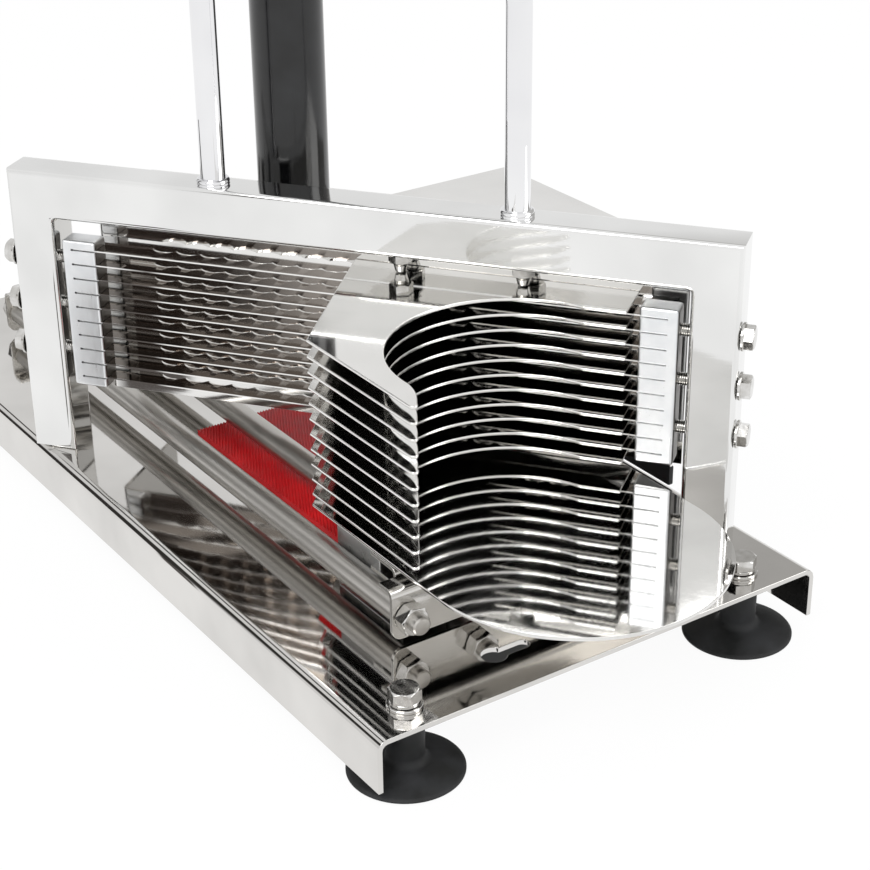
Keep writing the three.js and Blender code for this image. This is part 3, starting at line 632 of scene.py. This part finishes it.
# Blade blocks: castings with rounded corners and sawn slots
def blade_block(name, inner, side):
    front = FRAME_FRONT + BLOCK_SETBACK
    rear = front + BLOCK_DEPTH
    outline = rectangle(sorted((inner, inner + side * BLOCK_WIDTH)), (front, rear))
    cast = bevelled(prism(outline, BLOCK_LOW, BLOCK_HIGH), BLOCK_ROUND, segments=4)
    saw = rectangle(sorted((inner - side * SAW_OVERRUN, inner + side * SLOT_DEPTH)),
                    (front - SAW_OVERRUN, rear + SAW_OVERRUN))
    saw_cuts = merge([prism(saw, z - SLOT_WIDTH / 2, z + SLOT_WIDTH / 2) for z in blade_heights])
    block = placed("block", as_mesh("block", cast))
    tool = placed("slots", as_mesh("slots", saw_cuts))
    cut = block.modifiers.new("slots", "BOOLEAN")
    cut.operation = "DIFFERENCE"
    cut.solver = "EXACT"
    cut.object = tool
    form = bmesh.new()
    form.from_mesh(baked(block))
    for item in (tool, block):
        bpy.data.objects.remove(item)
    stands_for(f"{name}_cast", form, SLANT, name)


blade_block("blade_block_left", BLADE_SET[0], -1)
blade_block("blade_block_right", BLADE_SET[1], 1)


# Tension bolts: washer, chamfered head and a threaded shank that shows beside the block
def tension_bolt(side):
    seat = WINDOW_HALF + LEG_WIDTH + BOLT_GAP
    inner = BLADE_SET[1] if side > 0 else -BLADE_SET[0]
    return merge([
        washer(inner=2.6, outer=5.3, low=seat, thickness=1.0),
        hexagonal(across_flats=8.0, low=seat + 1.0, high=seat + 4.6),
        threaded(radius=2.5, low=inner + BLOCK_WIDTH - BOLT_BITE, high=WINDOW_HALF + 4, tip=0.4),
        cylinder(radius=2.5, low=WINDOW_HALF + 3.8, high=seat + 1.2),
    ])


for side, word in ((-1, "left"), (1, "right")):
    outwards = Matrix.Rotation(side * math.pi / 2, 4, "Y")
    for number, z in enumerate(BOLT_HEIGHTS, 1):
        turn = Matrix.Rotation(math.radians(23 * number + 5 * side), 4, "Z")
        place = SLANT @ Matrix.Translation((0, BOLT_ACROSS, z)) @ outwards @ turn
        stands_for(f"tension_screw_{word}_{number}", tension_bolt(side), place, f"tension_bolt_{word}_{number}",
                   sharp=30.0)


# A round rod along a path that lies in the plane of the frame
def bent_rod(path, radius, sides=40):
    across = Vector((0, 1, 0))
    rings = []
    for i, point in enumerate(path):
        heading = (path[min(i + 1, len(path) - 1)] - path[max(i - 1, 0)]).normalized()
        up = heading.cross(across)
        rings.append([point + radius * (math.cos(a) * across + math.sin(a) * up)
                      for a in (2 * math.pi * j / sides for j in range(sides))])
    return loft(rings)


# Top handle: a bent rod on two filleted collars
def top_handle():
    bend_low = HANDLE_BAR - HANDLE_BEND
    bend_in = HANDLE_HALF - HANDLE_BEND
    line = ([(-HANDLE_HALF, FRAME_TOP)] + arc((-bend_in, bend_low), HANDLE_BEND, 180, 90, 16)
            + arc((bend_in, bend_low), HANDLE_BEND, 90, 0, 16) + [(HANDLE_HALF, FRAME_TOP)])
    collar = ([(COLLAR_BORE, 0.0), (COLLAR_FOOT, 0.0)]
              + arc((COLLAR_FOOT - COLLAR_ROUND, COLLAR_ROUND), COLLAR_ROUND, -30, 120, 10) + [(COLLAR_BORE, 0.0)])
    collars = [moved(lathe(collar, sides=48), Matrix.Translation((x, 0, FRAME_TOP)))
               for x in (-HANDLE_HALF, HANDLE_HALF)]
    return merge([bent_rod([Vector((x, 0, z)) for x, z in line], HANDLE_RADIUS)] + collars)


# A moulded grip with rounded ends, bored through where it slides over a rod
def grip(radius, length, edge, bore=0.0):
    profile = ([(bore, 0.0)] + arc((radius - edge, edge), edge, -90, 0, 8)
               + arc((radius - edge, length - edge), edge, 0, 90, 8) + [(bore, length)])
    if bore:
        profile.append((bore, 0.0))
    return lathe(profile, sides=96)


stands_for("handle_rod", top_handle(), SLANT, "top_handle")
grip_place = SLANT @ Matrix.Translation((-GRIP_LENGTH / 2, 0, HANDLE_BAR)) @ ALONG_X
handle_grip = grip(GRIP_RADIUS, GRIP_LENGTH, edge=4.0, bore=GRIP_BORE)
stands_for("handle_sleeve", handle_grip, grip_place, "top_handle_grip")
push_place = SLANT @ Matrix.Translation((*PUSH_GRIP, HOOD_TOP + PUSH_GRIP_GAP))
stands_for("push_sleeve", grip(PUSH_GRIP_RADIUS, PUSH_GRIP_HEIGHT, edge=3.0), push_place, "push_grip")


# Hold-down screws: a lock nut under the rail and a stud that tapers to its tip
def hold_down():
    low = PLATE_TOP + SCREW_GAP
    nut_top = WINDOW_TOP - NUT_GAP
    nut_low = nut_top - 4.0
    tip = [(0, 0), (1.9, 0), (2.2, 0.3), (2.7, 2.2), (2.7, 2.6), (0, 2.6)]
    return merge([
        lathe([(radius, low + height) for radius, height in tip], sides=32),
        threaded(radius=2.9, low=low + 2.4, high=nut_low + 0.2, pitch=0.7, depth=0.3),
        hexagonal(across_flats=8.0, low=nut_low, high=nut_top, chamfer_low=True, chamfer_high=False),
        cylinder(radius=2.5, low=nut_top - 0.5, high=WINDOW_TOP + 0.4),
    ])


for number, along in enumerate(HOLD_DOWNS, 1):
    place = SLANT @ Matrix.Translation((along, 0, 0)) @ Matrix.Rotation(math.radians(25 * number), 4, "Z")
    stands_for(f"stop_screw_{number}", hold_down(), place, f"hold_down_screw_{number}", sharp=30.0)


# Guide rods: a ground shaft with chamfered shoulders and a stud at each end, whose thread is not drawn
def guide_rod():
    far = BASE_LENGTH - ROD_SHOULDER
    shaft = [(0, ROD_SHOULDER), (ROD_RADIUS - ROD_CHAMFER, ROD_SHOULDER), (ROD_RADIUS, ROD_SHOULDER + ROD_CHAMFER),
             (ROD_RADIUS, far - ROD_CHAMFER), (ROD_RADIUS - ROD_CHAMFER, far), (0, far)]
    stud = [(0, STUD_END - 0.15), (1.5, STUD_END - 0.12), (3.0, STUD_END + 0.1), (STUD_RADIUS, STUD_END + 0.6),
            (STUD_RADIUS, ROD_SHOULDER + 1), (0, ROD_SHOULDER + 1)]
    to_far_end = Matrix.Translation((0, 0, BASE_LENGTH)) @ Matrix.Rotation(math.pi, 4, "X")
    return merge([lathe(shaft, sides=96), lathe(stud), moved(lathe(stud), to_far_end)])


for word, x in ROD_X:
    place = BASE @ Matrix.Translation((x, 0, ROD_Z)) @ ALONG_Y
    stands_for(f"ground_rod_{word}", guide_rod(), place, f"guide_rod_{word}")
    for end, low in NUT_LOW:
        nut = hexagonal(across_flats=10.0, low=low, high=low + 5.5, chamfer_low=True)
        turned = place @ Matrix.Rotation(math.radians(11), 4, "Z")
        stands_for(f"lock_nut_{end}_{word}", nut, turned, f"rod_nut_{end}_{word}", sharp=30.0)


# Ribbed mat: a profile of fine ribs drawn out, turned, and cut to the mat's edges
def ribbed_mat():
    low_x, high_x, low_y, high_y = MAT
    centre = Vector(((low_x + high_x) / 2, (low_y + high_y) / 2, 0))
    reach = math.hypot(high_x - low_x, high_y - low_y) / 2 + 2
    form = bmesh.new()
    line = [form.verts.new((-reach, -reach + (i + share) * RIB_PITCH, MAT_THICKNESS - RIB_DEPTH * (1 - height)))
            for i in range(int(2 * reach / RIB_PITCH)) for share, height in RIB]
    edges = [form.edges.new(pair) for pair in zip(line, line[1:])]
    drawn = bmesh.ops.extrude_edge_only(form, edges=edges)["geom"]
    bmesh.ops.translate(form, verts=only(drawn, bmesh.types.BMVert), vec=(2 * reach, 0, 0))
    form.transform(Matrix.Translation(centre) @ Matrix.Rotation(RIB_ANGLE, 4, "Z"))
    for place, normal in (((low_x, 0, 0), (-1, 0, 0)), ((high_x, 0, 0), (1, 0, 0)),
                          ((0, low_y, 0), (0, -1, 0)), ((0, high_y, 0), (0, 1, 0))):
        whole = form.verts[:] + form.edges[:] + form.faces[:]
        bmesh.ops.bisect_plane(form, geom=whole, plane_co=place, plane_no=normal, clear_outer=True)
    rim = [edge for edge in form.edges if edge.is_boundary]
    walls = bmesh.ops.extrude_edge_only(form, edges=rim)["geom"]
    for vert in only(walls, bmesh.types.BMVert):
        vert.co.z = 0.0
    bottom = [edge for edge in only(walls, bmesh.types.BMEdge) if edge.is_boundary]
    bmesh.ops.contextual_create(form, geom=bottom)
    return form


stands_for("rubber_mat", ribbed_mat(), BASE, "ribbed_mat", sharp=25.0)


# Tray and plates of the pusher
def tray_outline():
    corner = (TRAY_LEFT, TRAY_CORNER_Y)
    radius = (TRAY_RIGHT - TRAY_LEFT) / 2
    return ([corner] + arc((TRAY_LEFT + radius, TONGUE_Y), radius, 180, 360, 96)
            + [line_at_x(PLATE_SEAM, TRAY_RIGHT), line_at_cut(PLATE_SEAM, corner)])


# From the rear corner along the frame's side of the plate, round the cup and to the pointed tip
def plate_outline():
    corner = (PLATE_LEFT, PLATE_CORNER_Y)
    cup_end = Vector(from_frame(PLATE_RIGHT - CUP_END_LAND, PLATE_FRONT))
    cup_start = math.degrees(math.atan2(cup_end.y - CUP.y, cup_end.x - CUP.x))
    tip = Vector((PLATE_LEFT, PLATE_TIP_Y)) + Vector((PLATE_TIP_RADIUS, PLATE_TIP_RADIUS))
    heel = Vector((CUP.x - CUP_RADIUS, CUP.y))
    knee = Vector((CUP.x - CUP_RADIUS, (CUP.y + tip.y) / 2))
    toe = Vector((tip.x + PLATE_TIP_RADIUS, tip.y))
    return ([corner, line_at_cut(PLATE_SEAM, corner), from_frame(PLATE_RIGHT, PLATE_SEAM),
             from_frame(PLATE_RIGHT, PLATE_FRONT)]
            + arc(CUP, CUP_RADIUS, cup_start, 180, 72)
            + [tuple(heel.lerp(knee, t).lerp(knee.lerp(toe, t), t)) for t in (i / 12 for i in range(1, 12))]
            + arc(tip, PLATE_TIP_RADIUS, 0, -180, 16))


tray = bevelled(prism(tray_outline(), TRAY_TOP - TRAY_THICKNESS, TRAY_TOP), width=0.3)
stands_for("tray_sheet", tray, BASE, "pusher_tray")
for number in range(BLADE_COUNT + 1):
    top = PLATE_TOP - number * BLADE_PITCH
    plate = bevelled(prism(plate_outline(), top - PLATE_THICKNESS, top), width=0.4, segments=3)
    name = f"pusher_plate_{number + 1:02d}"
    stands_for(f"{name}_sheet", plate, BASE, name)


# A dark rubber strip pushed over the lower edge of the hood's right side sheet, down to just above the base,
# stands in for the shade under that sheet
shade_strip = bevelled(prism(rectangle(SHADE_STRIP_X, SHADE_STRIP_Y), *SHADE_STRIP_Z), width=0.5)
piece("side_shade_strip", shade_strip, BASE, "pusher_body", slot="foot_rubber")


# Studio: a white sweep for the camera, with greyer and darker parts for the steel to reflect
WHITE = linear(0xFFFFFF)
OVERHEAD_GREY = linear(0xF9F9F9)
PAPER_WHITE = linear(0xEFEFEF)
# Painted shadow: the grey of the paper under the slicer
PAINTED_SHADOW_GREY = linear(0x4B4B4B)
SCREEN_GREY = linear(0xBBBAB8)
STRIP_DARK = linear(0x383634)
FLAG_DARK = linear(0x3B322D)


def studio_world():
    world = bpy.data.worlds.new("studio")
    bpy.context.scene.world = world
    tree = empty_tree(world)
    direction = add(tree, "ShaderNodeTexCoord").outputs["Generated"]
    x, y, z = add(tree, "ShaderNodeSeparateXYZ", {0: direction}).outputs
    # Reflected walls: bright behind the camera, light grey beyond the slicer
    away = add(tree, "ShaderNodeVectorMath", {0: direction, 1: (0.56, 0.83, 0.0)}, operation="DOT_PRODUCT")
    walls = add(tree, "ShaderNodeValToRGB", {0: mask(tree, (away.outputs["Value"], -1.0, 1.0))})
    stops = walls.color_ramp.elements
    stops[0].position, stops[0].color = 0.2, linear(0xFDFDFD)
    stops[1].position, stops[1].color = 0.8, linear(0xEFEFEF)
    stops.new(0.5).color = linear(0xECECEC)
    # A grey screen to the right, and a soft light overhead
    right_and_up = add(tree, "ShaderNodeMath", {0: x, 1: z}, operation="ADD")
    screen = mask(tree, (right_and_up, 0.97, 1.07))
    shaded = add(tree, "ShaderNodeMix", {0: screen, 6: walls, 7: SCREEN_GREY}, data_type="RGBA").outputs[2]
    overhead = mask(tree, (z, 0.62, 0.85))
    lit = add(tree, "ShaderNodeMix", {0: overhead, 6: shaded, 7: OVERHEAD_GREY}, data_type="RGBA").outputs[2]
    # Two narrow dark strips beyond the slicer draw the dark lines along its bends and rods
    left, right = (mask(tree, (x, low, low + 0.04), (x, high, high - 0.04), (y, 0.55, 0.62))
                   for low, high in ((-0.66, -0.44), (-0.22, -0.04)))
    strips = add(tree, "ShaderNodeMath", {0: left, 1: right}, operation="ADD")
    striped = add(tree, "ShaderNodeMix", {0: strips, 6: lit, 7: STRIP_DARK}, data_type="RGBA").outputs[2]
    # A small dark flag to the left, which the blades see
    flag = mask(tree, (x, -0.70, -0.78), (y, -0.245, -0.205), (y, -0.06, -0.12), (z, 0.22, 0.28), (z, 0.58, 0.50))
    reflected = add(tree, "ShaderNodeMix", {0: flag, 6: striped, 7: FLAG_DARK}, data_type="RGBA").outputs[2]
    glossy = add(tree, "ShaderNodeLightPath").outputs["Is Glossy Ray"]
    colour = add(tree, "ShaderNodeMix", {0: glossy, 6: WHITE, 7: reflected}, data_type="RGBA").outputs[2]
    shade = add(tree, "ShaderNodeBackground", {"Color": colour, "Strength": 1.0})
    add(tree, "ShaderNodeOutputWorld", {"Surface": shade})


def studio_floor():
    form = bmesh.new()
    bmesh.ops.create_grid(form, x_segments=2, y_segments=2, size=4.0)
    floor = placed("studio_floor", as_mesh("studio_floor", form))
    floor.location.z = -0.2 * MM
    material = bpy.data.materials.new("white_sweep")
    tree = empty_tree(material)
    path = add(tree, "ShaderNodeLightPath").outputs
    seen = add(tree, "ShaderNodeMath", {0: path["Is Camera Ray"], 1: path["Is Glossy Ray"]}, operation="MAXIMUM")
    # Under the slicer the paper is painted dark as shadow and barely glows, so that its holes and its underside
    # don't show white
    place = add(tree, "ShaderNodeTexCoord").outputs["Object"]
    absolute = add(tree, "ShaderNodeVectorMath", {0: place}, operation="ABSOLUTE")
    beside, beyond, _ = add(tree, "ShaderNodeSeparateXYZ", {0: absolute}).outputs
    ends = mask(tree, (beyond, 0.150, 0.162))
    outside = add(tree, "ShaderNodeMath", {0: mask(tree, (beside, 0.060, 0.080)), 1: ends}, operation="MAXIMUM")
    tone = add(tree, "ShaderNodeMix", {0: outside, 6: PAINTED_SHADOW_GREY, 7: PAPER_WHITE}, data_type="RGBA").outputs[2]
    paper = add(tree, "ShaderNodeBsdfDiffuse", {"Color": tone})
    # The floor is seen mostly as a white glow. The rest is paper, which keeps the slicer's shadow
    lit = add(tree, "ShaderNodeMath", {0: outside, 1: 0.03}, operation="MAXIMUM")
    open_floor = add(tree, "ShaderNodeMath", {0: lit, 1: 0.94}, operation="MULTIPLY")
    share = add(tree, "ShaderNodeMath", {0: seen, 1: open_floor}, operation="MULTIPLY")
    # A painted reflection that only the blades see: reflected rays that, on their way down, would have crossed
    # a small dark card left of the slicer find the floor dark. No card is built
    card_x = -0.15
    geometry = add(tree, "ShaderNodeNewGeometry").outputs
    floor_x, floor_y, _ = add(tree, "ShaderNodeSeparateXYZ", {0: geometry["Position"]}).outputs
    ray_x, ray_y, ray_z = add(tree, "ShaderNodeSeparateXYZ", {0: geometry["Incoming"]}).outputs
    gap = add(tree, "ShaderNodeMath", {0: card_x, 1: floor_x}, operation="SUBTRACT")
    run = add(tree, "ShaderNodeMath", {0: gap, 1: ray_x}, operation="DIVIDE")
    card_y = add(tree, "ShaderNodeMath", {0: run, 1: ray_y, 2: floor_y}, operation="MULTIPLY_ADD")
    card_z = add(tree, "ShaderNodeMath", {0: run, 1: ray_z}, operation="MULTIPLY")
    crossed = mask(tree, (gap, 0.0, 0.002), (ray_x, 0.5, 0.6), (card_y, -0.004, 0.002), (card_y, 0.034, 0.028),
                   (card_z, 0.074, 0.070))
    dark = add(tree, "ShaderNodeMath", {0: path["Is Glossy Ray"], 1: crossed}, operation="MULTIPLY")
    colour = add(tree, "ShaderNodeMix", {0: dark, 6: WHITE, 7: FLAG_DARK}, data_type="RGBA").outputs[2]
    glow = add(tree, "ShaderNodeEmission", {"Color": colour, "Strength": 1.0})
    both = add(tree, "ShaderNodeMixShader", {0: share, 1: paper, 2: glow})
    add(tree, "ShaderNodeOutputMaterial", {"Surface": both})
    floor.data.materials.append(material)


def softbox(name, place, target, size, power):
    data = bpy.data.lights.new(name, "AREA")
    data.shape = "RECTANGLE"
    data.size, data.size_y = size
    data.energy = power
    lamp = placed(name, data)
    lamp.location = place
    lamp.rotation_euler = (Vector(target) - Vector(place)).to_track_quat("-Z", "Y").to_euler()


studio_world()
studio_floor()
softbox("key", place=(-0.9, -0.5, 1.2), target=(0, 0, 0.05), size=(0.8, 0.8), power=9.0)
softbox("fill", place=(0.9, -0.9, 0.9), target=(0, 0, 0.05), size=(0.7, 0.9), power=5.0)

# Camera: the photograph's viewpoint, found from its straight edges
camera_data = bpy.data.cameras.new("camera")
camera_data.sensor_width = 36.0
camera_data.lens = 81.86
camera = placed("camera", camera_data)
right = Vector((0.82566762, -0.56406745, -0.01004457))
up = Vector((0.26116336, 0.36638122, 0.89306131))
back = Vector((-0.50006667, -0.73999508, 0.44982286))
viewpoint = (BASE_ORIGIN + Vector((-367.0964, -437.5721, 368.6111))) * MM
camera.matrix_world = Matrix.Translation(viewpoint) @ Matrix((right, up, back)).transposed().to_4x4()
bpy.context.scene.camera = camera
bpy.context.scene.view_settings.view_transform = "Standard"
